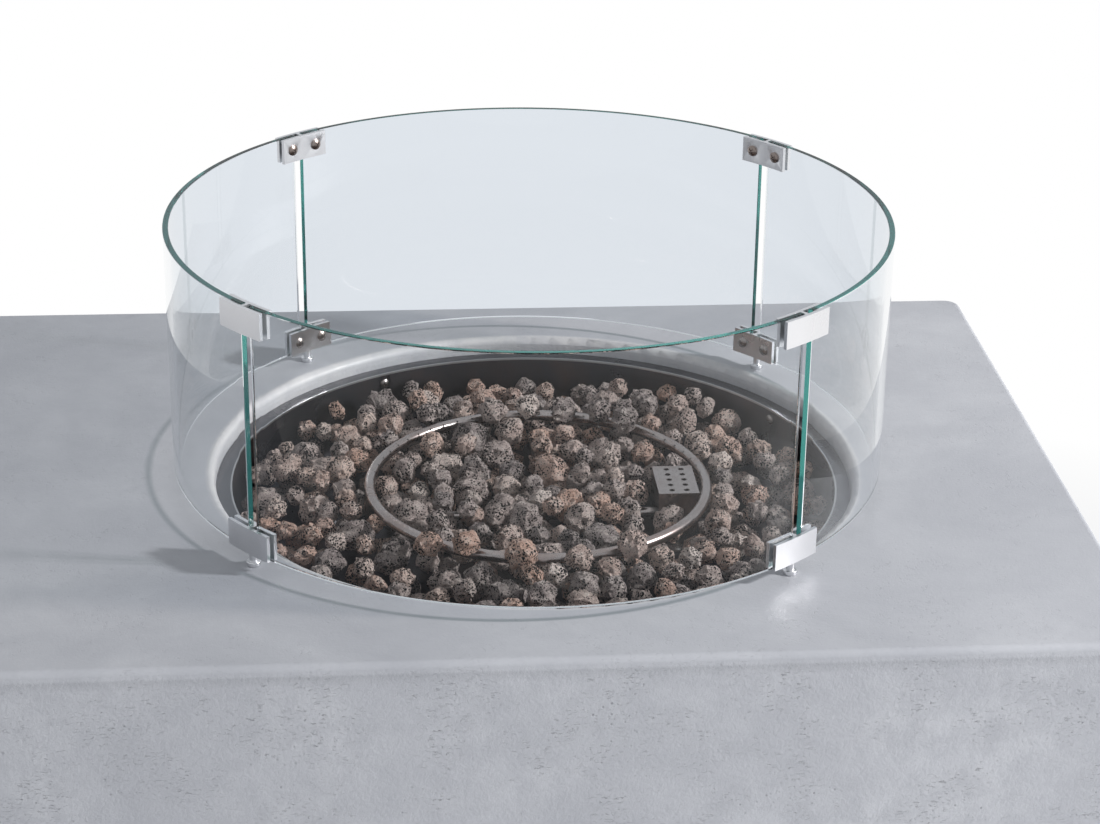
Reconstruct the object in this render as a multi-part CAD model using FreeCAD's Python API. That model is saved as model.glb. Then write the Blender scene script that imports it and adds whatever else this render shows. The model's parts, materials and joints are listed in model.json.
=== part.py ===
import FreeCAD, Part
import math
import os
import random

# Fire pit table: cast concrete body with a gas burner pan, a space for the gas tank, and a loose
# glass wind guard. Millimetres, +Z up, origin on the floor under the middle of the table.

# Table
table_length = 1220.0
table_width = 712.0
table_height = 610.0
corner_radius = 15.0            # upright corners of the casting
edge_radius = 5.0               # edges of the table top
wall = 22.0                     # walls of the casting
top_thickness = 24.0
boss_thickness = 40.0           # thickened ring round the burner hole
boss_radius = 300.0

# Burner hole
burner_to_end = 445.0           # hole centre to the right end
hole_radius = 278.0             # at the top surface, where the lip starts to round over
lip_radius = 6.0
ledge_depth = 15.5              # the pan's flange rests on this ledge
ledge_hole_radius = 263.0
burner_x = table_length / 2 - burner_to_end

# Base
foot_height = 18.0
foot_radius = 25.0
channel_size = 40.0
channel_sheet = 3.0
channel_inset = 8.0
cross_member_x = -170.0
frame_top = foot_height + channel_size

# Angle brackets between the frame and the long walls
bracket_places = ((-450.0, 2.0), (-100.0, 0.0), (180.0, 0.0), (480.0, 0.0))   # x, packing below
bracket_width = 40.0
bracket_height = 44.0
bracket_foot = 24.0
bracket_sheet = 4.0

# Burner pan
sheet = 1.5
pan_radius = 258.0              # inside
flange_radius = 271.0
flange_top = table_height - ledge_depth + sheet
pan_floor = table_height - 76.0     # upper face of the pan's floor
pan_bend = 10.0
pan_screw_angles = (29.0, 119.0, 209.0, 299.0)
pan_screw_drop = 24.0           # below the table top
drain_count = 8
drain_circle = 215.0
drain_radius = 4.0
probe_hole_radius = 4.2         # for the electrode and the thermocouple
shield_drop = 42.0              # heat shield below the pan's floor
shield_radius = 225.0
spacer_circle = 190.0
spacer_radius = 4.0

# Burner ring
ring_outer_radius = 150.0
ring_tube = 4.75                # tube radius
ring_tube_wall = 1.0
ring_drop = 25.5                # ring axis below the table top
ring_shift = (4.0, 4.0)         # the ring stands slightly off the pan's middle
jet_count = 60
jet_radius = 0.9
crossbar_drop = 56.0
hub_radius = 10.0

# Igniter cover and what it shelters
cover_width = 35.0
cover_length = 56.0
cover_drop = 25.0
cover_gap = 0.8                 # to the ring tube
cover_rows = 5
cover_columns = 2
cover_hole_radius = 2.4
cover_row_pitch = 10.6
cover_column_pitch = 12.8
cover_first_column = 12.0       # from the left edge

# Lava rock
rock_seed = 11
rock_radius_min = 9.5             # most stones are near this size, a few are near the largest
rock_radius_max = 17.5
bottom_rock_radius_min = 15.0
bottom_rock_radius_max = 19.0
bottom_rock_count = 120
rock_count = 760
rock_tries = 90
rock_top = table_height - 20.0          # highest stones beside the burner ring
rock_top_edge = table_height - 30.0     # highest stones at the wall
rock_top_cover = table_height - 24.0    # highest stones in front of the igniter cover
# where the stones are heaped: x and y from the burner hole's middle, spread, extra height
rock_heaps = (
    (135.0, 190.0, 75.0, 20.0),
    (-110.0, 175.0, 75.0, 18.0),
    (0.0, -175.0, 60.0, 14.0),
    (205.0, 60.0, 55.0, 10.0),
    (-200.0, 50.0, 60.0, 10.0),
    (0.0, 95.0, 75.0, 12.0),
    (-40.0, -40.0, 55.0, 5.0),
)
# stones that lean over the burner ring: direction from its middle, how far their centres lie
# outside its tube's axis, radius
leaning_rocks = (
    (-128.0, 16.0, 12.5),
    (-116.0, 10.0, 11.5),
    (-99.0, 15.0, 14.0),
    (-82.0, 15.5, 12.0),
    (-65.0, 13.5, 12.5),
    (50.0, -12.0, 13.0),
    (62.0, -9.0, 12.0),
    (76.0, -14.0, 13.5),
    (90.0, -10.0, 12.0),
    (104.0, -13.0, 13.0),
)
rock_gap = 0.25
rock_corners = 15

# Wind guard
guard_radius = 300.0            # outside of the glass
glass_thickness = 5.0
glass_height = 208.0
glass_gap_below = 12.0          # from the table top to the glass
glass_edge = 1.0                # rounding of the ground edges
panel_gap = 9.0                 # between neighbouring panels
guard_turn = 40.0               # direction of the first gap, degrees
guard_shift = (-6.0, 0.0)       # the loose guard stands a little to the left of the hole's middle
clamp_length = 48.0
clamp_height = 22.0
clamp_leaf = 3.0
clamp_slack = 0.6               # taken up by the soft pads
clamp_web = 4.4
clamp_screw_spacing = 26.5
clamp_screw_head = 4.8
clamp_top_drop = 0.6            # the clamps' top below the glass rim
guard_foot_radius = 5.7
guard_foot_flange = 4.0
guard_stem_radius = 3.4

# Door of the gas tank space, in the left end
door_opening_width = 430.0
door_opening_bottom = 76.0
door_opening_top = 552.0
door_recess = 25.0              # door face behind the end face
door_frame_sheet = 2.0
door_frame_depth = 44.0
door_gap = 4.0                  # door edge to frame
door_return = 15.0              # folded edges of the door
hinge_radius = 4.0
hinge_length = 60.0
hinge_inset = 4.5               # hinge axis from the frame's inner face
hinge_pin_radius = 1.5
hinge_clearance = 0.05
vent_slots = 6
vent_slot_length = 200.0
vent_slot_height = 6.0
vent_slot_pitch = 14.0

# Gas tank space
tank_ring_radius = 160.0
tank_ring_height = 15.0
tank_x = -385.0
tray_sheet = 2.0
tray_hole_count = 6
tray_hole_circle = 100.0
tray_hole_radius = 22.0
hose_hole_y = -130.0
hose_hole_z = 200.0
hose_hole_radius = 16.0

# Control recess, in the right end
panel_rebate = 2.0
panel_flange_width = 200.0
panel_flange_height = 130.0
pocket_width = 170.0
pocket_height = 100.0
pocket_depth = 42.0
panel_z = 455.0
knob_y = -45.0
button_y = 45.0
knob_radius = 22.0
knob_travel = 3.5
button_travel = 5.0
stem_radius = 4.0
plug_radius = 7.0
running_gap = 0.05
button_radius = 8.5
knob_dents = 12

# Gas hose and leads
hose_radius = 6.5
hose_nut_length = 14.0
hose_sag = 22.0
spark_lead_radius = 1.6
probe_lead_radius = 1.2

half_length = table_length / 2
half_width = table_width / 2
inner_x = half_length - wall
inner_y = half_width - wall
pocket_floor_x = half_length - panel_rebate - pocket_depth
x_axis = FreeCAD.Vector(1, 0, 0)
y_axis = FreeCAD.Vector(0, 1, 0)
z_axis = FreeCAD.Vector(0, 0, 1)

os.makedirs("parts", exist_ok=True)


def vec(x, y, z):
    return FreeCAD.Vector(x, y, z)


def save(name, shape):
    if isinstance(shape, (list, tuple)):
        shape = Part.makeCompound(list(shape))
    shape.exportStep("parts/" + name + ".step")
    print(name, "solids", len(shape.Solids), "valid", shape.isValid())


def block(x0, x1, y0, y1, z0, z1):
    return Part.makeBox(x1 - x0, y1 - y0, z1 - z0, vec(x0, y0, z0))


def rod(start, direction, radius, length):
    return Part.makeCylinder(radius, length, start, direction)


def tube(start, direction, outer, inner, length):
    return rod(start, direction, outer, length).cut(rod(start, direction, inner, length))


def hexagon(start, direction, across_flats, length):
    corner = across_flats / math.sqrt(3.0)
    points = []
    for i in range(7):
        turn = math.radians(60 * i + 30)
        points.append(vec(corner * math.cos(turn), corner * math.sin(turn), 0))
    prism = Part.Face(Part.makePolygon(points)).extrude(vec(0, 0, length))
    prism.Placement = FreeCAD.Placement(start, FreeCAD.Rotation(z_axis, direction))
    return prism


def moved(shape, x, y, z):
    copy = shape.copy()
    copy.translate(vec(x, y, z))
    return copy


def fuse_all(shapes):
    return shapes[0].multiFuse(shapes[1:]).removeSplitter()


def cross_head_screw(head_centre, direction, head_radius, head_height, shank_radius, length):
    """Domed head with a cross recess; the shank runs along direction from the head's seat."""
    dome = head_height * 0.65
    ball_radius = (head_radius ** 2 + dome ** 2) / (2 * dome)
    head = rod(vec(0, 0, -head_height), z_axis, head_radius, head_height)
    ball = Part.makeSphere(ball_radius, vec(0, 0, ball_radius - head_height))
    head = head.common(ball)
    arm = head_radius * 1.2
    slot = head_radius * 0.24
    recess_depth = head_height * 0.55
    for width, height in ((arm, slot), (slot, arm)):
        head = head.cut(block(-width / 2, width / 2, -height / 2, height / 2,
                              -head_height - 1, -head_height + recess_depth))
    screw = head.fuse(rod(vec(0, 0, -0.2), z_axis, shank_radius, length + 0.2))
    screw.Placement = FreeCAD.Placement(head_centre, FreeCAD.Rotation(z_axis, direction))
    return screw


def routed_tube(name, points, radius):
    """Tube along straight runs joined by tangent arcs that are as large as the runs allow."""
    corners = [vec(*p) for p in points]
    edges = []
    start = corners[0]
    for before, corner, after in zip(corners, corners[1:], corners[2:]):
        incoming = (corner - before).normalize()
        outgoing = (after - corner).normalize()
        turn = incoming.getAngle(outgoing)
        setback = 0.45 * min((corner - before).Length, (after - corner).Length)
        bend = setback / math.tan(turn / 2)
        arc_start = corner - incoming * setback
        arc_end = corner + outgoing * setback
        towards_centre = (outgoing - incoming).normalize()
        centre = corner + towards_centre * (bend / math.cos(turn / 2))
        middle = centre - towards_centre * bend
        edges.append(Part.LineSegment(start, arc_start).toShape())
        edges.append(Part.Arc(arc_start, middle, arc_end).toShape())
        start = arc_end
        print("  bend in", name, "radius", round(bend, 1))
    edges.append(Part.LineSegment(start, corners[-1]).toShape())
    path = Part.Wire(edges)
    direction = corners[1] - corners[0]
    profile = Part.Wire([Part.makeCircle(radius, corners[0], direction)])
    solid = path.makePipeShell([profile], True, True)
    expected = math.pi * radius ** 2 * path.Length
    print("  volume of", name, round(solid.Volume), "section times length", round(expected))
    return solid


def coil_spring(start, direction, radius, wire, length, turns):
    rise = length - 2 * wire
    helix = Part.makeHelix(rise / turns, rise, radius)
    profile = Part.Wire([Part.makeCircle(wire, vec(radius, 0, 0), y_axis)])
    spring = Part.Wire(helix.Edges).makePipeShell([profile], True, True)
    spring.translate(vec(0, 0, wire))
    spring.Placement = FreeCAD.Placement(start, FreeCAD.Rotation(z_axis, direction)).multiply(
        spring.Placement)
    return spring


def arc_block(inner, outer, middle_degrees, half_chord, z0, z1, centre):
    """Piece of a ring wall, half_chord long each side of its middle."""
    half = math.degrees(half_chord / ((inner + outer) / 2))
    ring = Part.makeCylinder(outer, z1 - z0, vec(0, 0, z0), z_axis, 2 * half)
    ring = ring.cut(rod(vec(0, 0, z0), z_axis, inner, z1 - z0))
    ring.rotate(vec(0, 0, 0), z_axis, middle_degrees - half)
    ring.translate(centre)
    return ring


def revolved(points, centre_x, centre_y):
    """Solid of revolution about an upright axis, from (radius, height) corners."""
    outline = Part.makePolygon([vec(r, 0, z) for r, z in points + points[:1]])
    solid = Part.Face(outline).revolve(vec(0, 0, 0), z_axis, 360)
    solid.translate(vec(centre_x, centre_y, 0))
    return solid


def upright_edges(shape):
    found = []
    for edge in shape.Edges:
        low, high = edge.BoundBox.ZMin, edge.BoundBox.ZMax
        if high - low > 20 and edge.BoundBox.XLength < 0.01 and edge.BoundBox.YLength < 0.01:
            found.append(edge)
    return found


def concrete_body():
    outer = block(-half_length, half_length, -half_width, half_width, frame_top, table_height)
    outer = outer.makeFillet(corner_radius, upright_edges(outer))
    top_edges = [e for e in outer.Edges if e.BoundBox.ZMin > table_height - 0.01]
    outer = outer.makeFillet(edge_radius, top_edges)
    inside = block(-inner_x, inner_x, -inner_y, inner_y, frame_top, table_height - top_thickness)
    inside = inside.makeFillet(corner_radius, upright_edges(inside))
    body = outer.cut(inside)
    axis_base = vec(burner_x, 0, 0)
    boss = rod(axis_base + vec(0, 0, table_height - boss_thickness), z_axis, boss_radius,
               boss_thickness - 1)
    body = body.fuse(boss)
    rebate_radius = hole_radius - lip_radius
    body = body.cut(rod(axis_base, z_axis, ledge_hole_radius, table_height + 10))
    body = body.cut(rod(axis_base + vec(0, 0, table_height - ledge_depth), z_axis, rebate_radius, 50))
    # rounded lip: a ring with a concave outside is cut from the edge
    ring = tube(axis_base + vec(0, 0, table_height - lip_radius), z_axis, hole_radius,
                rebate_radius - 1, lip_radius + 1)
    rounding = Part.makeTorus(hole_radius, lip_radius, vec(burner_x, 0, table_height - lip_radius),
                              z_axis)
    body = body.cut(ring.cut(rounding))
    # door opening and control recess
    door = block(-half_length - 1, -inner_x + 1, -door_opening_width / 2, door_opening_width / 2,
                 door_opening_bottom, door_opening_top)
    recess = block(inner_x - 1, half_length + 1, -pocket_width / 2 - 1, pocket_width / 2 + 1,
                   panel_z - pocket_height / 2 - 1, panel_z + pocket_height / 2 + 1)
    rebate = block(half_length - panel_rebate, half_length + 1,
                   -panel_flange_width / 2 - 1, panel_flange_width / 2 + 1,
                   panel_z - panel_flange_height / 2 - 1, panel_z + panel_flange_height / 2 + 1)
    return body.cut(door).cut(recess).cut(rebate).removeSplitter()


def base_frame():
    x1 = half_length - channel_inset
    y1 = half_width - channel_inset
    ring = block(-x1, x1, -y1, y1, foot_height, frame_top)
    ring = ring.cut(block(-x1 + channel_size, x1 - channel_size, -y1 + channel_size,
                          y1 - channel_size, foot_height, frame_top))
    hollow = block(-x1 + channel_sheet, x1 - channel_sheet, -y1 + channel_sheet, y1 - channel_sheet,
                   foot_height + channel_sheet, frame_top - channel_sheet)
    ring = ring.cut(hollow)
    member = block(cross_member_x - 20, cross_member_x + 20, -y1 + channel_size - 4,
                   y1 - channel_size + 4, frame_top - channel_sheet, frame_top)
    lip = block(cross_member_x + 17, cross_member_x + 20, -y1 + channel_size - 4,
                y1 - channel_size + 4, foot_height + channel_sheet, frame_top)
    return fuse_all([ring, member, lip])


def rubber_feet():
    feet = []
    spread_x = half_length - channel_inset - channel_size / 2 - 20
    spread_y = half_width - channel_inset - channel_size / 2
    for x in (-spread_x, 0.0, spread_x):
        for y in (-spread_y, spread_y):
            foot = Part.makeCone(foot_radius - 3, foot_radius - 6, foot_height, vec(x, y, 0))
            feet.append(foot)
    return feet


def bracket(x, side, base):
    """Angle bracket between the frame and a long wall; side is +1 for the back wall."""
    y_wall = side * inner_y
    x0 = x - bracket_width / 2
    x1 = x + bracket_width / 2
    y_sheet = sorted((y_wall, y_wall - side * bracket_sheet))
    y_foot = sorted((y_wall, y_wall - side * bracket_foot))
    upright = block(x0, x1, y_sheet[0], y_sheet[1], base, base + bracket_height)
    foot = block(x0, x1, y_foot[0], y_foot[1], base, base + bracket_sheet)
    return fuse_all([upright, foot])


def hex_bolt(seat, direction, length):
    head = hexagon(seat, direction * -1, 13.0, 5.3)
    return fuse_all([head, rod(seat, direction, 4.0, length)])


def brackets_and_bolts():
    brackets = []
    bolts = []
    for x, packing in bracket_places:
        base = frame_top + packing
        foot_bolt_length = packing + bracket_sheet + channel_sheet + 6
        for side in (-1, 1):
            piece = bracket(x, side, base)
            upright_seat = vec(x, side * (inner_y - bracket_sheet), base + 28)
            upright_bolt = hex_bolt(upright_seat, vec(0, side, 0), 18.0)
            foot_seat = vec(x, side * (inner_y - 16), base + bracket_sheet)
            foot_bolt = hex_bolt(foot_seat, vec(0, 0, -1), foot_bolt_length)
            brackets.append(piece.cut(upright_bolt).cut(foot_bolt))
            bolts.extend([upright_bolt, foot_bolt])
    return brackets, bolts


def tank_tray():
    plate = block(-inner_x + 8, cross_member_x - 3, -inner_y + 8, inner_y - 8, frame_top,
                  frame_top + tray_sheet)
    for i in range(tray_hole_count):
        turn = 2 * math.pi * i / tray_hole_count
        centre = vec(tank_x + tray_hole_circle * math.cos(turn), tray_hole_circle * math.sin(turn),
                     frame_top - 1)
        plate = plate.cut(rod(centre, z_axis, tray_hole_radius, tray_sheet + 2))
    ring = tube(vec(tank_x, 0, frame_top + tray_sheet), z_axis, tank_ring_radius + tray_sheet,
                tank_ring_radius, tank_ring_height)
    return plate, ring


def partition_plate():
    low = frame_top
    high = table_height - top_thickness
    plate = block(cross_member_x, cross_member_x + sheet, -inner_y + 4, inner_y - 4, low, high)
    foot = block(cross_member_x, cross_member_x + 16, -inner_y + 4, inner_y - 4, low, low + sheet)
    plate = fuse_all([plate, foot])
    hole = rod(vec(cross_member_x - 5, hose_hole_y, hose_hole_z), x_axis, hose_hole_radius, 10)
    return plate.cut(hole)


def hose_grommet():
    lip = 3.0
    start = vec(cross_member_x - lip, hose_hole_y, hose_hole_z)
    ring = tube(start, x_axis, hose_hole_radius + 4, hose_hole_radius - 5, 2 * lip + sheet)
    groove = tube(vec(cross_member_x, hose_hole_y, hose_hole_z), x_axis, hose_hole_radius + 5,
                  hose_hole_radius, sheet)
    return ring.cut(groove)


# Door of the tank space
door_half = door_opening_width / 2 - door_frame_sheet - door_gap
door_low = door_opening_bottom + door_frame_sheet + door_gap
door_high = door_opening_top - door_frame_sheet - door_gap
door_face_x = -half_length + door_recess
hinge_x = door_face_x - 4.5
hinge_y = door_opening_width / 2 - door_frame_sheet - hinge_inset
hinge_heights = (door_low + 70.0, door_high - 70.0)
catch_z = (door_low + door_high) / 2


def door_frame():
    half = door_opening_width / 2
    x0 = door_face_x - 9.0
    frame = block(x0, x0 + door_frame_depth, -half, half, door_opening_bottom, door_opening_top)
    return frame.cut(block(x0, x0 + door_frame_depth, -half + door_frame_sheet,
                           half - door_frame_sheet, door_opening_bottom + door_frame_sheet,
                           door_opening_top - door_frame_sheet))


def access_door():
    door = block(door_face_x, door_face_x + door_return, -door_half, door_half, door_low, door_high)
    door = door.cut(block(door_face_x + sheet, door_face_x + door_return, -door_half + sheet,
                          door_half - sheet, door_low + sheet, door_high - sheet))
    for low in (door_low + 40.0, door_high - 40.0 - vent_slots * vent_slot_pitch):
        for i in range(vent_slots):
            z = low + i * vent_slot_pitch
            door = door.cut(block(door_face_x - 1, door_face_x + sheet + 1, -vent_slot_length / 2,
                                  vent_slot_length / 2, z, z + vent_slot_height))
    return door


def hinge_knuckle(low, high):
    return tube(vec(hinge_x, hinge_y, low), z_axis, hinge_radius,
                hinge_pin_radius + hinge_clearance, high - low)


def hinges():
    """Frame leaves with outer knuckles and the pins fixed in them, door leaves with the middle one."""
    frame_leaves = []
    door_leaves = []
    pins = []
    frame_face_y = door_opening_width / 2 - door_frame_sheet
    for z in hinge_heights:
        low = z - hinge_length / 2
        high = z + hinge_length / 2
        inner_low = low + hinge_length / 3
        inner_high = high - hinge_length / 3
        plate = block(hinge_x, hinge_x + 30, frame_face_y - 1.5, frame_face_y, low, high)
        slot = rod(vec(hinge_x, hinge_y, inner_low - 0.3), z_axis, hinge_radius + 0.3,
                   inner_high - inner_low + 0.6)
        leaf = fuse_all([plate.cut(slot), hinge_knuckle(low, inner_low - 0.3),
                         hinge_knuckle(inner_high + 0.3, high)])
        frame_leaves.append(leaf.cut(rod(vec(hinge_x, hinge_y, low), z_axis,
                                         hinge_pin_radius + hinge_clearance, hinge_length)))
        plate = block(door_face_x - 1.5, door_face_x, hinge_y - 26, hinge_y, inner_low, inner_high)
        leaf = fuse_all([plate, hinge_knuckle(inner_low, inner_high)])
        door_leaves.append(leaf.cut(rod(vec(hinge_x, hinge_y, low), z_axis,
                                        hinge_pin_radius + hinge_clearance, hinge_length)))
        pin = rod(vec(hinge_x, hinge_y, low - 1), z_axis, hinge_pin_radius, hinge_length + 2)
        caps = [rod(vec(hinge_x, hinge_y, end), z_axis, 3.0, 1.0) for end in (low - 1, high)]
        pins.append(fuse_all([pin] + caps))
    return frame_leaves, door_leaves, pins


def door_screws():
    screws = []
    for z in hinge_heights:
        for y in (hinge_y - 12, hinge_y - 21):
            screws.append(cross_head_screw(vec(door_face_x - 1.5, y, z), x_axis, 3.2, 1.6, 1.4, 5))
    for end in (-1, 1):
        screws.append(cross_head_screw(vec(door_face_x + sheet, -door_half + 36,
                                           catch_z + end * 48), x_axis * -1, 3.2, 1.6, 1.9, 8))
    return screws


def door_handle():
    """Bow handle with its two fixing pillars."""
    y = -door_half + 36
    grip = block(door_face_x - 20, door_face_x - 14, y - 6, y + 6, catch_z - 56, catch_z + 56)
    grip = grip.makeFillet(2.5, [e for e in grip.Edges if e.BoundBox.ZLength > 100])
    pillars = [rod(vec(door_face_x - 15, y, catch_z + end * 48), x_axis, 5.0, 15) for end in (-1, 1)]
    handle = fuse_all([grip] + pillars)
    for end in (-1, 1):
        handle = handle.cut(rod(vec(door_face_x - 8, y, catch_z + end * 48), x_axis, 1.9, 9))
    return handle


def door_catch():
    half = door_opening_width / 2 - door_frame_sheet
    back_x = door_face_x + door_return
    magnet = block(back_x + 1.5, back_x + 14, -half, -half + 16, catch_z - 22, catch_z + 22)
    strike = block(back_x, back_x + 1.2, -door_half, -door_half + 20, catch_z - 20, catch_z + 20)
    tab = block(back_x - 8, back_x + 0.5, -door_half + sheet, -door_half + 2 * sheet, catch_z - 20,
                catch_z + 20)
    return magnet, fuse_all([strike, tab])


# Burner pan and burner
def burner_pan():
    outer = pan_radius + sheet
    low = pan_floor - sheet
    b = pan_bend
    profile = [(0, low), (outer - b, low), (outer - b * 0.3, low + b * 0.3), (outer, low + b),
               (outer, flange_top - sheet), (flange_radius, flange_top - sheet),
               (flange_radius, flange_top), (pan_radius, flange_top), (pan_radius, low + b),
               (pan_radius - b * 0.25, pan_floor + b * 0.3), (pan_radius - b, pan_floor),
               (0, pan_floor)]
    pan = revolved(profile, burner_x, 0)
    pan = pan.cut(rod(vec(ring_x, ring_y, low - 1), z_axis, hub_radius + 0.3, 5))
    for i in range(drain_count):
        turn = 2 * math.pi * (i + 0.5) / drain_count
        spot = vec(burner_x + drain_circle * math.cos(turn), drain_circle * math.sin(turn), low - 1)
        pan = pan.cut(rod(spot, z_axis, drain_radius, 5))
    for x, y in (electrode_spot, thermocouple_spot):
        pan = pan.cut(rod(vec(x, y, low - 1), z_axis, probe_hole_radius, 5))
    fasteners = [pan_screw(angle) for angle in pan_screw_angles] + cover_screws()
    return pan.cut(Part.makeCompound(fasteners))


def pan_screw(angle):
    turn = math.radians(angle)
    outward = vec(math.cos(turn), math.sin(turn), 0)
    seat = vec(burner_x, 0, table_height - pan_screw_drop) + outward * pan_radius
    return cross_head_screw(seat, outward, 4.6, 2.6, 2.0, 4.4)


def pan_clip(angle):
    leg_inner = pan_radius + sheet
    boss_under = table_height - boss_thickness
    leg = block(leg_inner + 0.1, leg_inner + 2.1, -10, 10, boss_under - 6, table_height - 19)
    hook = block(leg_inner + 0.1, leg_inner + 26, -10, 10, boss_under - 6, boss_under - 4)
    bend = block(leg_inner + 24, leg_inner + 26, -10, 10, boss_under - 6, boss_under)
    clip = fuse_all([leg, hook, bend])
    clip.rotate(vec(0, 0, 0), z_axis, angle)
    clip.translate(vec(burner_x, 0, 0))
    return clip.cut(pan_screw(angle))


ring_x = burner_x + ring_shift[0]
ring_y = ring_shift[1]
ring_z = table_height - ring_drop
ring_radius = ring_outer_radius - ring_tube
crossbar_z = table_height - crossbar_drop
hub_bottom = pan_floor - 28.0


def burner_ring():
    """Ring tube on two risers, with the cross tube and the inlet hub that feed it."""
    centre = vec(ring_x, ring_y, ring_z)
    outer = [Part.makeTorus(ring_radius, ring_tube, centre, z_axis)]
    inner_tube = ring_tube - ring_tube_wall
    inner = [Part.makeTorus(ring_radius, inner_tube, centre, z_axis)]
    for side in (-1, 1):
        foot = vec(ring_x + side * ring_radius, ring_y, crossbar_z - ring_tube)
        rise = ring_z - crossbar_z + ring_tube
        outer.append(rod(foot, z_axis, ring_tube, rise))
        inner.append(rod(foot + vec(0, 0, ring_tube_wall), z_axis, inner_tube,
                         rise - ring_tube_wall))
    bar_start = vec(ring_x - ring_radius, ring_y, crossbar_z)
    outer.append(rod(bar_start, x_axis, ring_tube, 2 * ring_radius))
    inner.append(rod(bar_start, x_axis, inner_tube, 2 * ring_radius))
    outer.append(rod(vec(ring_x, ring_y, hub_bottom), z_axis, hub_radius, crossbar_z - hub_bottom + 4))
    inner.append(rod(vec(ring_x, ring_y, hub_bottom - 1), z_axis, hub_radius - 2.5,
                     crossbar_z - hub_bottom + 1))
    burner = outer[0]
    hollow = inner[0]
    for solid_piece, hollow_piece in zip(outer[1:], inner[1:]):
        burner = burner.fuse(solid_piece)
        hollow = hollow.fuse(hollow_piece)
    burner = burner.cut(hollow)
    for i in range(jet_count):
        turn = 2 * math.pi * (i + 0.5) / jet_count
        inward = vec(-math.cos(turn), -math.sin(turn), 1.0).normalize()
        start = centre + vec(ring_radius * math.cos(turn), ring_radius * math.sin(turn), 0)
        burner = burner.cut(rod(start, inward, jet_radius, ring_tube + 2))
    return burner


def burner_fittings():
    locknut = hexagon(vec(ring_x, ring_y, pan_floor - sheet - 7), z_axis, 30.0, 7.0)
    locknut = locknut.cut(rod(vec(ring_x, ring_y, hub_bottom - 5), z_axis, hub_radius, 60))
    mixer_low = hub_bottom - 46.0
    mixer = rod(vec(ring_x, ring_y, mixer_low), z_axis, 12.5, hub_bottom + 10 - mixer_low)
    mixer = mixer.cut(rod(vec(ring_x, ring_y, hub_bottom), z_axis, hub_radius, 20))
    mixer = mixer.cut(rod(vec(ring_x, ring_y, mixer_low + 8), z_axis, 7.0, hub_bottom - mixer_low))
    for direction in (x_axis, y_axis):
        start = vec(ring_x, ring_y, mixer_low + 22) - direction * 15
        mixer = mixer.cut(rod(start, direction, 4.0, 30))
    elbow = fuse_all([
        hexagon(vec(ring_x, ring_y, mixer_low - 8), z_axis, 20.0, 8.0),
        Part.makeSphere(9.0, vec(ring_x, ring_y, mixer_low - 14)),
        rod(vec(ring_x, ring_y, mixer_low - 14), z_axis, 8.0, 8.0),
        rod(vec(ring_x, ring_y, mixer_low - 14), x_axis, 8.0, 22.0)])
    elbow_end = vec(ring_x + 22, ring_y, mixer_low - 14)
    return locknut, mixer, elbow, elbow_end


ring_inside = ring_radius - ring_tube
cover_right = ring_x + math.sqrt(ring_inside ** 2 - (cover_length / 2) ** 2) - cover_gap
cover_x = cover_right - cover_width / 2
cover_top = table_height - cover_drop
electrode_spot = (cover_x - 4.0, ring_y + 13.0)
thermocouple_spot = (cover_x - 4.0, ring_y - 13.0)


def igniter_cover():
    x0 = cover_x - cover_width / 2
    x1 = cover_x + cover_width / 2
    y0 = ring_y - cover_length / 2
    y1 = ring_y + cover_length / 2
    hood = block(x0, x1, y0, y1, pan_floor, cover_top)
    hood = hood.cut(block(x0 - 1, x1 + 1, y0 + 1.2, y1 - 1.2, pan_floor - 1, cover_top - 1.2))
    skirt = block(x0, x0 + 1.2, y0, y1, cover_top - 7, cover_top)
    far_skirt = moved(skirt, cover_width - 1.2, 0, 0)
    feet = [block(x0 + 4, x1 - 4, end, end + 11, pan_floor, pan_floor + 1.2) for end in (y0 - 11, y1)]
    cover = fuse_all([hood, skirt, far_skirt] + feet)
    column_start = x0 + cover_first_column
    for row in range(cover_rows):
        for column in range(cover_columns):
            x = column_start + column * cover_column_pitch
            y = ring_y + (row - (cover_rows - 1) / 2) * cover_row_pitch
            cover = cover.cut(rod(vec(x, y, cover_top - 2), z_axis, cover_hole_radius, 3))
    return cover.cut(Part.makeCompound(cover_screws()))


def cover_screws():
    screws = []
    for side in (-1, 1):
        seat = vec(cover_x, ring_y + side * (cover_length / 2 + 6), pan_floor + 1.2)
        screws.append(cross_head_screw(seat, vec(0, 0, -1), 3.2, 1.6, 1.5, 4.0))
    return screws


def sensors():
    x, y = electrode_spot
    electrode = fuse_all([rod(vec(x, y, pan_floor - 8), z_axis, 3.0, 34),
                          rod(vec(x, y, pan_floor + 10), z_axis, probe_hole_radius, 3),
                          rod(vec(x, y, pan_floor + 26), z_axis, 1.0, 8)])
    x, y = thermocouple_spot
    probe = fuse_all([rod(vec(x, y, pan_floor - 8), z_axis, 2.4, 40),
                      rod(vec(x, y, pan_floor + 10), z_axis, probe_hole_radius, 3),
                      Part.makeSphere(2.4, vec(x, y, pan_floor + 32))])
    bracket_plate = block(x - 8, x + 8, ring_y - 22, ring_y + 22, pan_floor + 8.8, pan_floor + 10)
    legs = [block(x - 8, x + 8, end, end + 1.2, pan_floor, pan_floor + 10)
            for end in (ring_y - 22, ring_y + 20.8)]
    holder = fuse_all([bracket_plate] + legs)
    for spot in (electrode_spot, thermocouple_spot):
        holder = holder.cut(rod(vec(spot[0], spot[1], pan_floor), z_axis, 3.0, 12))
    holder = holder.cut(rod(vec(thermocouple_spot[0], thermocouple_spot[1], pan_floor), z_axis,
                            2.4, 12))
    return electrode, probe, holder


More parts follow.
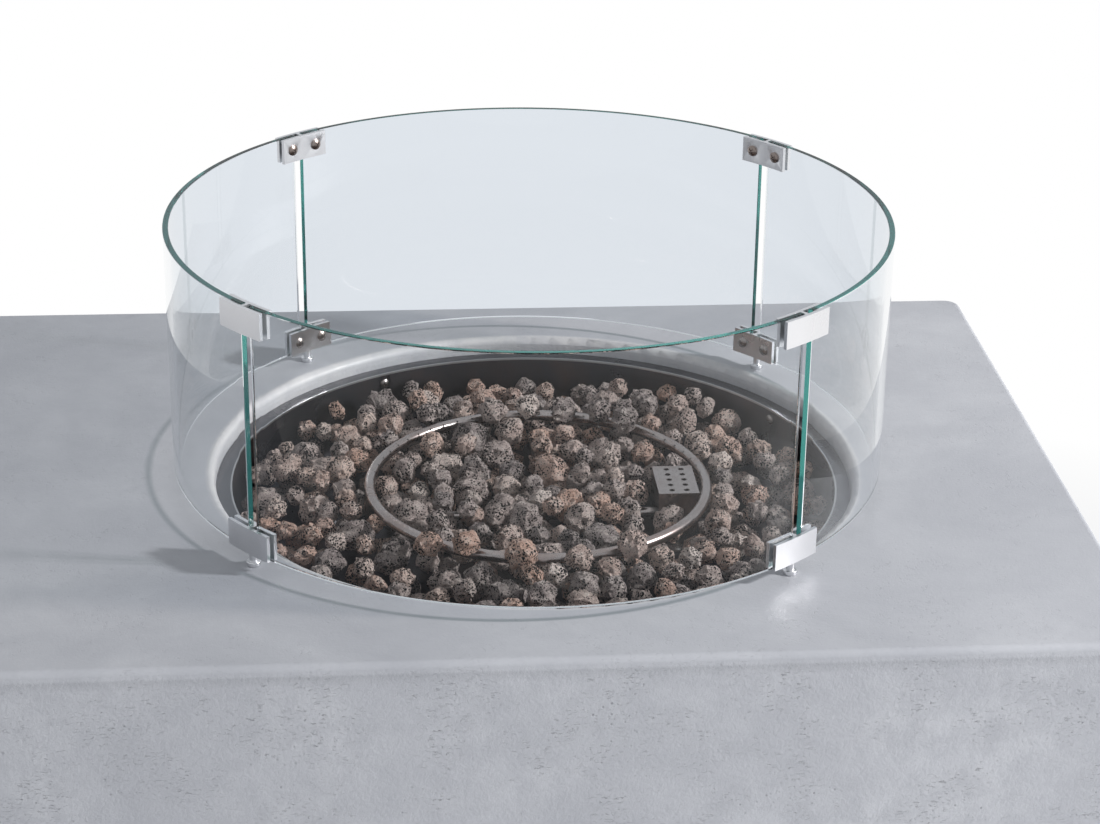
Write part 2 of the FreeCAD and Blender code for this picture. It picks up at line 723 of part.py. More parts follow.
def heat_shield():
    shield_z = pan_floor - shield_drop
    plate = rod(vec(burner_x, 0, shield_z), z_axis, shield_radius, 1.0)
    plate = plate.cut(rod(vec(ring_x, ring_y, shield_z - 1), z_axis, 20.0, 3))
    plate = plate.cut(rod(vec(electrode_spot[0], ring_y, shield_z - 1), z_axis, 20.0, 3))
    spacers = []
    for i in range(4):
        turn = math.radians(90 * i + 45)
        spot = vec(burner_x + spacer_circle * math.cos(turn), spacer_circle * math.sin(turn),
                   shield_z + 1)
        spacers.append(rod(spot, z_axis, spacer_radius, pan_floor - sheet - shield_z - 1))
    return plate, spacers


# Gas tap and sparker, behind the control recess
def control_panel():
    x1 = half_length - panel_rebate + sheet
    outer = block(pocket_floor_x - sheet, x1, -pocket_width / 2, pocket_width / 2,
                  panel_z - pocket_height / 2, panel_z + pocket_height / 2)
    flange = block(x1 - sheet, x1, -panel_flange_width / 2, panel_flange_width / 2,
                   panel_z - panel_flange_height / 2, panel_z + panel_flange_height / 2)
    pocket = block(pocket_floor_x, x1 + 1, -pocket_width / 2 + sheet, pocket_width / 2 - sheet,
                   panel_z - pocket_height / 2 + sheet, panel_z + pocket_height / 2 - sheet)
    panel = outer.fuse(flange).cut(pocket)
    panel = panel.cut(rod(vec(pocket_floor_x - 5, knob_y, panel_z), x_axis, 7.2, 10))
    panel = panel.cut(rod(vec(pocket_floor_x - 5, button_y, panel_z), x_axis, 11.2, 10))
    screws = []
    for y in (-1, 1):
        for z in (-1, 1):
            seat = vec(x1, y * (panel_flange_width / 2 - 7), panel_z + z * (panel_flange_height / 2 - 7))
            screws.append(cross_head_screw(seat - vec(0.3, 0, 0), vec(-1, 0, 0), 3.0, 0.8, 1.6, 16))
    for screw in screws:
        panel = panel.cut(screw)
    return panel, screws


plate_back_x = pocket_floor_x - sheet
plug_front_x = plate_back_x - 18.0
valve_back_x = plug_front_x - 34.0
outlet_z = panel_z - 5.0
valve_bore = plug_radius + running_gap
stem_bore = stem_radius + running_gap


def gas_tap():
    bore_base = vec(valve_back_x + 8, knob_y, panel_z)
    body = fuse_all([
        block(valve_back_x, plug_front_x + 1, knob_y - 18, knob_y + 18, panel_z - 16, panel_z + 14),
        rod(vec(plug_front_x, knob_y, panel_z), x_axis, 11.0, plate_back_x - plug_front_x),
        rod(vec(plug_front_x, knob_y, panel_z), x_axis, 7.0, pocket_floor_x + 6 - plug_front_x)])
    body = body.cut(rod(bore_base, x_axis, valve_bore, plate_back_x - 3 - bore_base.x))
    body = body.cut(rod(bore_base, x_axis, stem_bore, 80))
    plug = rod(bore_base + vec(0.3, 0, 0), x_axis, plug_radius, plug_front_x - bore_base.x - 0.3)
    plug = plug.cut(rod(bore_base + vec(4, 0, 0), x_axis, stem_bore, 60))
    stem_start = bore_base + vec(10, 0, 0)
    collar_x = plate_back_x - 3 - 0.3 - 2.0
    stem = fuse_all([rod(stem_start, x_axis, stem_radius, pocket_floor_x + 28 - stem_start.x),
                     rod(vec(collar_x, knob_y, panel_z), x_axis, 6.3, 2.0)])
    spring = coil_spring(vec(plug_front_x, knob_y, panel_z), x_axis, 5.6, 0.6,
                         collar_x - plug_front_x, 5)
    nut = hexagon(vec(pocket_floor_x, knob_y, panel_z), x_axis, 20.0, 4.0)
    nut = nut.cut(rod(vec(pocket_floor_x - 1, knob_y, panel_z), x_axis, 7.0, 10))
    inlet = fuse_all([
        hexagon(vec(valve_back_x + 18, knob_y, panel_z - 24), z_axis, 19.0, 8.0),
        rod(vec(valve_back_x + 18, knob_y, panel_z - 40), z_axis, 7.9, 17.0)])
    inlet = inlet.cut(rod(vec(valve_back_x + 18, knob_y, panel_z - 41), z_axis, 4.0, 26.0))
    return body, plug, stem, spring, nut, inlet


def control_knob():
    start = vec(pocket_floor_x + 10, knob_y, panel_z)
    skirt = rod(start, x_axis, knob_radius, 5.0)
    grip = Part.makeCone(knob_radius - 2, knob_radius - 4, 20.0, start + vec(4, 0, 0), x_axis)
    knob = skirt.fuse(grip)
    for i in range(knob_dents):
        turn = 2 * math.pi * (i + 0.5) / knob_dents
        spot = start + vec(5, (knob_radius + 0.5) * math.cos(turn), (knob_radius + 0.5) * math.sin(turn))
        knob = knob.cut(rod(spot, x_axis, 4.2, 22))
    pointer = block(start.x + 10, start.x + 25.5, knob_y - 1.2, knob_y + 1.2, panel_z + 4,
                    panel_z + knob_radius - 4.6)
    knob = knob.fuse(pointer)
    return knob.cut(rod(start - vec(1, 0, 0), x_axis, stem_radius, 19))


def igniter():
    bore_back = pocket_floor_x - 14.0
    box_back = bore_back - 48.0
    case = fuse_all([
        block(box_back, bore_back + 1, button_y - 15, button_y + 15, panel_z - 15, panel_z + 15),
        rod(vec(bore_back, button_y, panel_z), x_axis, 14.0, plate_back_x - bore_back),
        rod(vec(bore_back, button_y, panel_z), x_axis, 10.9, pocket_floor_x + 8 - bore_back)])
    case = case.cut(rod(vec(bore_back, button_y, panel_z), x_axis, button_radius + running_gap, 60))
    nut = tube(vec(pocket_floor_x, button_y, panel_z), x_axis, 14.5, 10.9, 4.0)
    button_back = pocket_floor_x
    button = rod(vec(button_back, button_y, panel_z), x_axis, button_radius, 17.0)
    rim = [e for e in button.Edges if abs(e.BoundBox.XMin - (button_back + 17)) < 0.01]
    button = button.makeFillet(1.5, rim)
    spring = coil_spring(vec(bore_back, button_y, panel_z), x_axis, 6.5, 0.6,
                         button_back - bore_back, 5)
    lead_port = vec(box_back, button_y, panel_z)
    return case, nut, button, spring, lead_port


# Gas hose and leads, each held at both ends
def hose_nuts(elbow_end):
    nuts = []
    for start in (elbow_end, vec(valve_back_x - hose_nut_length, knob_y, outlet_z)):
        nut = hexagon(start, x_axis, 19.0, hose_nut_length)
        nuts.append(nut.cut(rod(start, x_axis, hose_radius, hose_nut_length)))
    return nuts


def supply_hose(start):
    span = valve_back_x - start.x
    points = [(start.x, start.y, start.z),
              (start.x + span * 0.24, start.y, start.z),
              (start.x + span * 0.5, knob_y * 0.5, (start.z + outlet_z) / 2 - hose_sag),
              (start.x + span * 0.76, knob_y, outlet_z),
              (valve_back_x, knob_y, outlet_z)]
    return routed_tube("supply_hose", points, hose_radius)


def igniter_lead(port):
    x, y = electrode_spot
    points = [(x, y, pan_floor - 8), (x, y, pan_floor - 62), (x + 52, y + 14, pan_floor - 98),
              (x + 120, button_y - 6, panel_z - 22), (port.x - 46, button_y, panel_z),
              (port.x, port.y, port.z)]
    return routed_tube("igniter_lead", points, spark_lead_radius)


def thermocouple_lead():
    x, y = thermocouple_spot
    port_x = valve_back_x + 24
    points = [(x, y, pan_floor - 8), (x, y, pan_floor - 56), (x + 48, y + 6, pan_floor - 92),
              (x + 108, y + 16, panel_z + 4), (port_x - 62, y + 26, panel_z + 12),
              (port_x - 12, y + 22, panel_z + 8), (port_x, knob_y + 38, panel_z + 6),
              (port_x, knob_y + 18, panel_z + 6)]
    return routed_tube("thermocouple_lead", points, probe_lead_radius)


# Wind guard
guard_centre = vec(burner_x + guard_shift[0], guard_shift[1], 0)
glass_bottom = table_height + glass_gap_below
glass_top = glass_bottom + glass_height
glass_inner = guard_radius - glass_thickness


def glass_panel(middle_degrees):
    half_chord = math.pi / 4 * (guard_radius - glass_thickness / 2) - panel_gap / 2
    panel = arc_block(glass_inner, guard_radius, middle_degrees, half_chord, glass_bottom, glass_top,
                      guard_centre)
    return panel.makeFillet(glass_edge, panel.Edges)


def clamp_screws(gap_degrees, low):
    screws = []
    for side in (-1, 1):
        offset = math.degrees(side * clamp_screw_spacing / 2 / glass_inner)
        turn = math.radians(gap_degrees + offset)
        outward = vec(math.cos(turn), math.sin(turn), 0)
        seat = guard_centre + outward * (glass_inner - clamp_slack - clamp_leaf)
        seat.z = low + clamp_height / 2
        screws.append(cross_head_screw(seat, outward, clamp_screw_head, 2.4, 2.0, clamp_leaf - 0.05))
    return screws


def clamp(gap_degrees, low):
    high = low + clamp_height
    outer_face = guard_radius + clamp_slack
    inner_face = glass_inner - clamp_slack
    half = clamp_length / 2
    outer = arc_block(outer_face, outer_face + clamp_leaf, gap_degrees, half, low, high, guard_centre)
    inner = arc_block(inner_face - clamp_leaf, inner_face, gap_degrees, half, low, high, guard_centre)
    web = arc_block(inner_face - 0.5, outer_face + 0.5, gap_degrees, clamp_web / 2, low, high,
                    guard_centre)
    body = fuse_all([outer, inner, web])
    for screw in clamp_screws(gap_degrees, low):
        body = body.cut(screw)
    return body


def clamp_pads(gap_degrees, low):
    pads = []
    for side in (-1, 1):
        middle = gap_degrees + math.degrees(side * clamp_screw_spacing / 2 / glass_inner)
        for inner in (glass_inner - clamp_slack, guard_radius):
            pads.append(arc_block(inner, inner + clamp_slack, middle, 6.0, low + 4,
                                  low + clamp_height - 4, guard_centre))
    return pads


def guard_foot(gap_degrees):
    turn = math.radians(gap_degrees)
    middle = guard_centre + vec(math.cos(turn), math.sin(turn), 0) * (guard_radius - glass_thickness / 2)
    middle.z = table_height
    flange = rod(middle, z_axis, guard_foot_radius, guard_foot_flange)
    flange = flange.makeFillet(1.0, flange.Edges[:1] + flange.Edges[2:])
    return fuse_all([flange, rod(middle + vec(0, 0, 2), z_axis, guard_stem_radius,
                                 glass_gap_below - 2)])


def wind_guard():
    quarters = ("right", "back", "left", "front")
    top_clamps = []
    bottom_clamps = []
    screws = []
    pads = []
    feet = []
    top_low = glass_top - clamp_top_drop - clamp_height
    for i in range(4):
        gap = guard_turn + 90 * i
        save("glass_panel_" + quarters[i], glass_panel(gap - 45))
        top_clamps.append(clamp(gap, top_low))
        bottom_clamps.append(clamp(gap, glass_bottom))
        feet.append(guard_foot(gap))
        for low in (top_low, glass_bottom):
            screws.extend(clamp_screws(gap, low))
            pads.extend(clamp_pads(gap, low))
    save("top_clamps", top_clamps)
    save("bottom_clamps", bottom_clamps)
    save("clamp_screws", screws)
    save("clamp_pads", pads)
    save("guard_feet", feet)


# Lava rock
def rock_solid(centre, radius, dice):
    """Rough stone: the convex hull of uneven corners inside a ball of the given radius."""
    flat = dice.uniform(0.74, 1.0)
    spin = FreeCAD.Rotation(vec(dice.uniform(-1, 1), dice.uniform(-1, 1), dice.uniform(0.1, 1)),
                            dice.uniform(0, 360))
    corners = []
    for i in range(rock_corners):
        # evenly spread directions, then shaken
        height = 1 - (2 * i + 1) / rock_corners
        turn = 2.39996 * i + dice.uniform(-0.25, 0.25)
        level = math.sqrt(1 - height * height)
        point = vec(level * math.cos(turn), level * math.sin(turn), height * flat)
        point = spin.multVec(point * (radius * dice.uniform(0.88, 1.0)))
        corners.append(centre + point)
    faces = []
    for i in range(rock_corners):
        for j in range(i + 1, rock_corners):
            for k in range(j + 1, rock_corners):
                a, b, c = corners[i], corners[j], corners[k]
                normal = (b - a).cross(c - a)
                offsets = [normal.dot(p - a) for p in corners if p not in (a, b, c)]
                if max(offsets) < 0:
                    faces.append(Part.Face(Part.makePolygon([a, b, c, a])))
                elif min(offsets) > 0:
                    faces.append(Part.Face(Part.makePolygon([a, c, b, a])))
    return Part.makeSolid(Part.makeShell(faces))


def rock_ceiling(x, y):
    """How high the stones reach at a place in the pan."""
    from_middle = math.hypot(x - burner_x, y)
    outward = min(1.0, max(0.0, (from_middle - ring_radius) / 90.0))
    level = rock_top + (rock_top_edge - rock_top) * outward
    for heap_x, heap_y, spread, height in rock_heaps:
        away = math.hypot(x - burner_x - heap_x, y - heap_y) / spread
        level += height * math.exp(-away * away)
    before_cover = abs(x - cover_x) < cover_width and -95.0 < y - ring_y < 0
    return min(level, rock_top_cover) if before_cover else level


def rock_is_free(x, y, z, radius):
    """Keeps the stones off the burner's parts, the igniter cover and the pan's screw heads."""
    for angle in pan_screw_angles:
        turn = math.radians(angle)
        screw = vec(burner_x + pan_radius * math.cos(turn), pan_radius * math.sin(turn),
                    table_height - pan_screw_drop)
        if (vec(x, y, z) - screw).Length < radius + 7:
            return False
    dx = x - ring_x
    dy = abs(y - ring_y)
    reach = radius + ring_tube + rock_gap
    if math.hypot(math.hypot(dx, dy) - ring_radius, z - ring_z) < reach:
        return False
    if abs(dx) < ring_outer_radius and math.hypot(dy, z - crossbar_z) < reach:
        return False
    if math.hypot(abs(dx) - ring_radius, dy) < reach:
        return False
    above_hub = z - radius > crossbar_z + ring_tube
    if math.hypot(dx, dy) < radius + hub_radius + 1 and not above_hub:
        return False
    beside_x = max(abs(x - cover_x) - cover_width / 2, 0)
    beside_y = max(dy - cover_length / 2 - 1, 0)
    if math.hypot(beside_x, beside_y) < radius + rock_gap:
        return False
    beside_foot = max(dy - cover_length / 2 - 12, 0)
    return math.hypot(beside_x, beside_foot) >= radius or z - radius > pan_floor + 3


def leaning_places():
    """Centre and radius of each stone that touches the burner ring from above."""
    places = []
    for angle, outside, radius in leaning_rocks:
        turn = math.radians(angle)
        reach = radius + ring_tube + rock_gap
        from_middle = ring_radius + outside
        places.append((ring_x + from_middle * math.cos(turn), ring_y + from_middle * math.sin(turn),
                       ring_z + math.sqrt(reach ** 2 - outside ** 2), radius))
    return places


def meets_any(x, y, z, radius, others):
    for other_x, other_y, other_z, other_radius in others:
        apart = math.dist((x, y, z), (other_x, other_y, other_z))
        if apart < radius + other_radius + rock_gap:
            return True
    return False


def lava_rocks():
    """Drops the stones one by one, each at the lowest of several places."""
    dice = random.Random(rock_seed)
    leaning = leaning_places()
    placed = []
    for number in range(rock_count):
        radius = rock_radius_min + (rock_radius_max - rock_radius_min) * dice.random() ** 2
        if number < bottom_rock_count:
            radius = dice.uniform(bottom_rock_radius_min, bottom_rock_radius_max)
        best = None
        for _ in range(rock_tries):
            reach = (pan_radius - radius - 1.0) * math.sqrt(dice.random())
            turn = dice.uniform(0, 2 * math.pi)
            x = burner_x + reach * math.cos(turn)
            y = reach * math.sin(turn)
            z = pan_floor + radius + 0.2
            beside_bar = abs(y - ring_y)
            bar_reach = radius + ring_tube + rock_gap
            if beside_bar < bar_reach and abs(x - ring_x) < ring_radius:
                z = crossbar_z + math.sqrt(bar_reach ** 2 - beside_bar ** 2) + 0.01
            if reach > pan_radius - radius - pan_bend:
                z += pan_bend * 0.4
            for other_x, other_y, other_z, other_radius in placed:
                apart = radius + other_radius + rock_gap
                level = math.hypot(x - other_x, y - other_y)
                if level < apart:
                    z = max(z, other_z + math.sqrt(apart ** 2 - level ** 2))
            if z + radius >= rock_ceiling(x, y) or not rock_is_free(x, y, z, radius):
                continue
            if meets_any(x, y, z, radius, leaning):
                continue
            if best is None or z + radius < best[2] + best[3]:
                best = (x, y, z, radius)
        if best:
            placed.append(best)
    placed.extend(leaning)
    print("  rocks", len(placed), "highest", round(max(z + radius for x, y, z, radius in placed), 1))
    return [rock_solid(vec(x, y, z), radius, dice) for x, y, z, radius in placed]


def build():
    brackets, bolts = brackets_and_bolts()
    panel, panel_screws = control_panel()
    save("concrete_body", concrete_body().cut(Part.makeCompound(bolts + panel_screws)))
    save("base_frame", base_frame().cut(Part.makeCompound(bolts)))
    save("rubber_feet", rubber_feet())
    save("body_brackets", brackets)
    save("bracket_bolts", bolts)
    tray, tank_ring = tank_tray()
    save("tank_tray", tray.cut(Part.makeCompound(bolts)))
    save("tank_ring", tank_ring)
    save("partition_plate", partition_plate())
    save("hose_grommet", hose_grommet())

    save("door_frame", door_frame())
    door = access_door()
    handle_screws = door_screws()
    for screw in handle_screws:
        door = door.cut(screw)
    save("access_door", door)
    save("door_handle", door_handle())
    frame_leaves, door_leaves, pins = hinges()
    for screw in handle_screws:
        door_leaves = [leaf.cut(screw) for leaf in door_leaves]
    save("door_hinges_frame", frame_leaves)
    save("door_hinges_door", door_leaves)
    save("hinge_pins", pins)
    save("door_screws", handle_screws)
    magnet, strike = door_catch()
    save("door_magnet", magnet)
    save("door_strike", strike)

    save("burner_pan", burner_pan())
    save("pan_screws", [pan_screw(angle) for angle in pan_screw_angles])
    save("pan_clips", [pan_clip(angle) for angle in pan_screw_angles])
    save("burner_ring", burner_ring())
    locknut, mixer, elbow, elbow_end = burner_fittings()
    save("burner_locknut", locknut)
    save("air_mixer", mixer)
    save("inlet_elbow", elbow)
    save("igniter_cover", igniter_cover())
    save("cover_screws", cover_screws())
    electrode, probe, holder = sensors()
    save("spark_electrode", electrode)
    save("thermocouple", probe)
    save("sensor_bracket", holder)
    plate, spacers = heat_shield()
    save("heat_shield", plate)
    save("shield_spacers", spacers)
    save("lava_rocks", lava_rocks())

    save("control_panel", panel)
    save("panel_screws", panel_screws)
    body, plug, stem, spring, nut, inlet = gas_tap()
    save("valve_body", body)
    save("valve_plug", plug)
    save("valve_stem", stem)
    save("stem_spring", spring)
    save("valve_nut", nut)
    save("gas_inlet", inlet)
    save("control_knob", control_knob())
    case, ring_nut, button, button_spring, lead_port = igniter()
    save("igniter_box", case)
    save("igniter_nut", ring_nut)
    save("igniter_button", button)
    save("button_spring", button_spring)

    save("hose_nuts", hose_nuts(elbow_end))
    save("supply_hose", supply_hose(elbow_end))
    save("igniter_lead", igniter_lead(lead_port))
    save("thermocouple_lead", thermocouple_lead())

    wind_guard()


build()
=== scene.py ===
import json
import math
import random

import bmesh
import bpy
from mathutils import Matrix, Vector, noise


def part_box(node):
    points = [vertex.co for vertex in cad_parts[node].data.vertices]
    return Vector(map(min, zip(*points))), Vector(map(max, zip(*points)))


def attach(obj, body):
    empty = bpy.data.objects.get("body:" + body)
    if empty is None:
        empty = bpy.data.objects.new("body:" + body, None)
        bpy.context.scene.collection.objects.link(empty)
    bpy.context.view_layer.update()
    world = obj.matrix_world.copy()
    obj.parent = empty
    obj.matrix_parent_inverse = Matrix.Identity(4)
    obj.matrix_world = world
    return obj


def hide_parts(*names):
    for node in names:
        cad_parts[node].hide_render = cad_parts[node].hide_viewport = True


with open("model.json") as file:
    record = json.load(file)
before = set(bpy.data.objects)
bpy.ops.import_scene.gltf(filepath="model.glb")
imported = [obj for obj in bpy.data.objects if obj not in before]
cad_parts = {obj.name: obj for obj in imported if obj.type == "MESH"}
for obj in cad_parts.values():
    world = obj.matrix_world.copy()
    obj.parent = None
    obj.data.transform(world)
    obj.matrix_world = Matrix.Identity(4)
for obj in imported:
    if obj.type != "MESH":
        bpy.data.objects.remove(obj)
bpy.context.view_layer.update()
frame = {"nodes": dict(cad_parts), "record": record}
nodes = frame["nodes"]
print("frame loaded", len(nodes), "nodes")

slotOf = {part["node"]: part["material_slot"] for part in frame["record"]["subparts"]}
bodyOf = {name: body for body, names in frame["record"]["behaviour"]["bodies"].items()
          for name in names}

# where the round pieces stand, read from the CAD boxes
panLow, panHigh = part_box("burner_pan")
panMiddle = (panLow + panHigh) / 2
clampLow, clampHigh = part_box("top_clamps")
guardMiddle = (clampLow + clampHigh) / 2


def newMaterial(name, baseColour, roughness=0.5, metallic=0.0):
    material = bpy.data.materials.new(name)
    material.use_nodes = True
    shader = material.node_tree.nodes["Principled BSDF"]
    shader.inputs["Base Color"].default_value = (*baseColour, 1)
    shader.inputs["Roughness"].default_value = roughness
    shader.inputs["Metallic"].default_value = metallic
    return material, shader


def addNode(material, kind, **settings):
    node = material.node_tree.nodes.new(kind)
    for key, value in settings.items():
        if key in node.inputs:
            node.inputs[key].default_value = value
        else:
            setattr(node, key, value)
    return node


def link(material, source, target):
    material.node_tree.links.new(source, target)


def feed(material, value, socket):
    # a number, a colour or another node's output
    if isinstance(value, (int, float)):
        socket.default_value = value
    elif isinstance(value, tuple):
        socket.default_value = (*value, 1)
    else:
        link(material, value, socket)


def objectSpace(material, stretch=(1, 1, 1)):
    coords = addNode(material, "ShaderNodeTexCoord")
    mapping = addNode(material, "ShaderNodeMapping")
    mapping.inputs["Scale"].default_value = stretch
    link(material, coords.outputs["Object"], mapping.inputs["Vector"])
    return mapping.outputs["Vector"]


def heightOn(material, space):
    parts = addNode(material, "ShaderNodeSeparateXYZ")
    link(material, space, parts.inputs[0])
    return parts.outputs["Z"]


def distanceFromAxis(material, middle):
    # how far a point is from the upright line through the middle
    away = addNode(material, "ShaderNodeVectorMath", operation="DISTANCE")
    link(material, objectSpace(material, (1, 1, 0)), away.inputs[0])
    away.inputs[1].default_value = (middle.x, middle.y, 0)
    return away.outputs["Value"]


def noiseOn(material, space, scale, detail=4.0, rough=0.55, distortion=0.0):
    tex = addNode(material, "ShaderNodeTexNoise", Scale=scale, Detail=detail,
                  Roughness=rough, Distortion=distortion)
    link(material, space, tex.inputs["Vector"])
    return tex.outputs["Fac"]


def voronoiOn(material, space, scale):
    tex = addNode(material, "ShaderNodeTexVoronoi", Scale=scale)
    link(material, space, tex.inputs["Vector"])
    return tex.outputs["Distance"]


def colourRamp(material, fac, stops):
    ramp = addNode(material, "ShaderNodeValToRGB")
    while len(ramp.color_ramp.elements) < len(stops):
        ramp.color_ramp.elements.new(0.5)
    for element, (place, colour) in zip(ramp.color_ramp.elements, stops):
        element.position = place
        element.color = (*colour, 1)
    link(material, fac, ramp.inputs["Fac"])
    return ramp.outputs["Color"]


def mapRange(material, value, fromLow, fromHigh, toLow, toHigh):
    node = addNode(material, "ShaderNodeMapRange")
    for key, number in (("From Min", fromLow), ("From Max", fromHigh),
                        ("To Min", toLow), ("To Max", toHigh)):
        node.inputs[key].default_value = number
    link(material, value, node.inputs["Value"])
    return node.outputs["Result"]


def mixColour(material, fac, first, second):
    node = addNode(material, "ShaderNodeMix", data_type="RGBA")
    for index, value in ((0, fac), (6, first), (7, second)):
        feed(material, value, node.inputs[index])
    return node.outputs[2]


def combine(material, operation, first, second):
    node = addNode(material, "ShaderNodeMath", operation=operation)
    feed(material, first, node.inputs[0])
    feed(material, second, node.inputs[1])
    return node.outputs[0]


def addBump(material, shader, height, strength, depth):
    # the newest bump lies on top of the earlier ones
    bump = addNode(material, "ShaderNodeBump", Strength=strength, Distance=depth)
    link(material, height, bump.inputs["Height"])
    earlier = shader.inputs["Normal"]
    if earlier.is_linked:
        link(material, earlier.links[0].from_socket, bump.inputs["Normal"])
    link(material, bump.outputs["Normal"], earlier)


# pattern scales grow as the pattern gets finer; heights and radii are in metres
concreteLook = {
    "light": (0.530, 0.540, 0.572),
    "dark": (0.430, 0.440, 0.474),
    # stains, and the painted shade under the rounded edge
    "stainAndShade": (0.225, 0.230, 0.250),
    "lipWearAndHighlight": (0.80, 0.775, 0.755),   # the lip of the burner hole: rubbed wear and a painted highlight
    "rough": (0.34, 0.52),
    "clouds": 4.2,
    "mottle": 21.0,
    "grain": 420.0,
    "blots": 48.0,
    "relief": 300.0,
    "pits": 150.0,
    "craters": 34.0,
    "topEnds": 0.606,
    "sideStarts": 0.600,
    # upwards for the line of dust and painted shade under the edge, outwards from the pan's middle
    # for the lip: fades in over the first two, out over the last two
    "dustAndShadeLine": (0.592, 0.599, 0.600, 0.602),
    "lip": (0.2705, 0.273, 0.277, 0.281),
}


def makeConcrete():
    look = concreteLook
    mat, shader = newMaterial("castConcrete", look["light"], 0.4)
    space = objectSpace(mat)
    cloud = noiseOn(mat, space, look["clouds"], 6, 0.62, 0.7)
    mottle = noiseOn(mat, space, look["mottle"], 6, 0.68, 0.4)
    grain = noiseOn(mat, space, look["grain"], 3, 0.6)
    colour = colourRamp(mat, cloud, [(0.34, look["dark"]), (0.60, look["light"])])
    colour = mixColour(mat, mapRange(mat, mottle, 0.42, 0.72, 0.0, 0.42), colour, look["dark"])
    colour = mixColour(mat, mapRange(mat, grain, 0.3, 0.7, 0.0, 0.10), colour, look["light"])
    # the sides are rougher than the trowelled top
    height = heightOn(mat, space)
    side = mapRange(mat, height, look["topEnds"], look["sideStarts"], 0.25, 1.0)
    # air holes of the casting, small ones in patches and a few larger ones
    small = mapRange(mat, voronoiOn(mat, space, look["pits"]), 0.06, 0.20, 1.0, 0.0)
    patches = mapRange(mat, noiseOn(mat, space, 13, 3), 0.56, 0.62, 0.0, 1.0)
    large = mapRange(mat, voronoiOn(mat, space, look["craters"]), 0.03, 0.07, 1.0, 0.0)
    few = mapRange(mat, noiseOn(mat, space, 9, 1), 0.58, 0.60, 0.0, 1.0)
    pits = combine(mat, "MAXIMUM", combine(mat, "MULTIPLY", small, patches),
                   combine(mat, "MULTIPLY", large, few))
    # crumbled patches of short drag marks
    dragged = noiseOn(mat, objectSpace(mat, (34, 34, 90)), 7.0, 4, 0.6, 1.0)
    crumbled = mapRange(mat, noiseOn(mat, space, 17, 3, 0.6), 0.45, 0.58, 0.0, 1.0)
    drag = combine(mat, "MULTIPLY", mapRange(mat, dragged, 0.58, 0.68, 0.0, 1.0), crumbled)
    marks = combine(mat, "MULTIPLY", combine(mat, "MAXIMUM", pits, drag), side)
    colour = mixColour(mat, combine(mat, "MULTIPLY", marks, 0.75), colour, look["stainAndShade"])
    # blots on the sides, and a line just under the rounded edge painted darker: dust and painted
    # shade
    blots = mapRange(mat, noiseOn(mat, space, look["blots"], 5, 0.65), 0.44, 0.62, 0.0, 0.65)
    colour = mixColour(mat, combine(mat, "MULTIPLY", blots, side), colour, look["dark"])
    lineIn, lineFull, lineEnds, lineOut = look["dustAndShadeLine"]
    line = combine(mat, "MULTIPLY", mapRange(mat, height, lineIn, lineFull, 0.0, 0.22),
                   mapRange(mat, height, lineOut, lineEnds, 0.0, 1.0))
    colour = mixColour(mat, line, colour, look["stainAndShade"])
    # the lip of the hole is painted pale: partly rubbed wear, partly a painted highlight
    away = distanceFromAxis(mat, panMiddle)
    lipIn, lipFull, lipEnds, lipOut = look["lip"]
    lip = combine(mat, "MULTIPLY", mapRange(mat, away, lipIn, lipFull, 0.0, 1.0),
                  mapRange(mat, away, lipEnds, lipOut, 1.0, 0.0))
    lip = combine(mat, "MULTIPLY", lip, mapRange(mat, mottle, 0.3, 0.6, 0.85, 0.35))
    colour = mixColour(mat, lip, colour, look["lipWearAndHighlight"])
    link(mat, colour, shader.inputs["Base Color"])
    link(mat, mapRange(mat, mottle, 0.3, 0.75, *look["rough"]), shader.inputs["Roughness"])
    addBump(mat, shader, grain, 0.12, 0.0004)
    addBump(mat, shader, mottle, 0.10, 0.002)
    addBump(mat, shader, combine(mat, "SUBTRACT", 1.0, marks), 0.6, 0.0008)
    relief = combine(mat, "MULTIPLY", noiseOn(mat, space, look["relief"], 5, 0.68), side)
    addBump(mat, shader, relief, 0.6, 0.0012)
    return mat


metalLook = {
    "satinAluminium": {"colour": (0.80, 0.80, 0.815), "rough": 0.31, "contrast": 0.03,
                       "bump": 0.01, "fine": 900},
    "stainless": {"colour": (0.60, 0.58, 0.56), "rough": 0.26, "contrast": 0.08},
    "heatTintedSteel": {"colour": (0.44, 0.39, 0.37), "rough": 0.24, "tint": (0.33, 0.23, 0.20)},
    "darkScrews": {"colour": (0.36, 0.32, 0.30), "rough": 0.28, "tint": (0.24, 0.17, 0.14),
                   "contrast": 0.1},
    "zincSteel": {"colour": (0.62, 0.62, 0.60), "rough": 0.38, "tint": (0.5, 0.5, 0.44)},
    "brass": {"colour": (0.72, 0.55, 0.27), "rough": 0.3, "tint": (0.5, 0.36, 0.17)},
    "springWire": {"colour": (0.7, 0.7, 0.7), "rough": 0.2},
}


def makeMetal(name, colour, rough, tint=None, contrast=0.12, bump=0.05, fine=260):
    mat, shader = newMaterial(name, colour, rough, 1.0)
    space = objectSpace(mat)
    streaks = noiseOn(mat, space, fine, 4, 0.6)
    patches = noiseOn(mat, space, 14, 4, 0.6, 0.8)
    dark = tuple(c * (1 - contrast * 2) for c in colour)
    base = mixColour(mat, mapRange(mat, streaks, 0.3, 0.7, 0.0, 0.6), colour, dark)
    if tint:
        base = mixColour(mat, mapRange(mat, patches, 0.45, 0.72, 0.0, 0.7), base, tint)
    link(mat, base, shader.inputs["Base Color"])
    link(mat, mapRange(mat, patches, 0.3, 0.75, rough * 0.8, min(1.0, rough * 1.35)),
         shader.inputs["Roughness"])
    addBump(mat, shader, streaks, bump, 0.0003)
    return mat


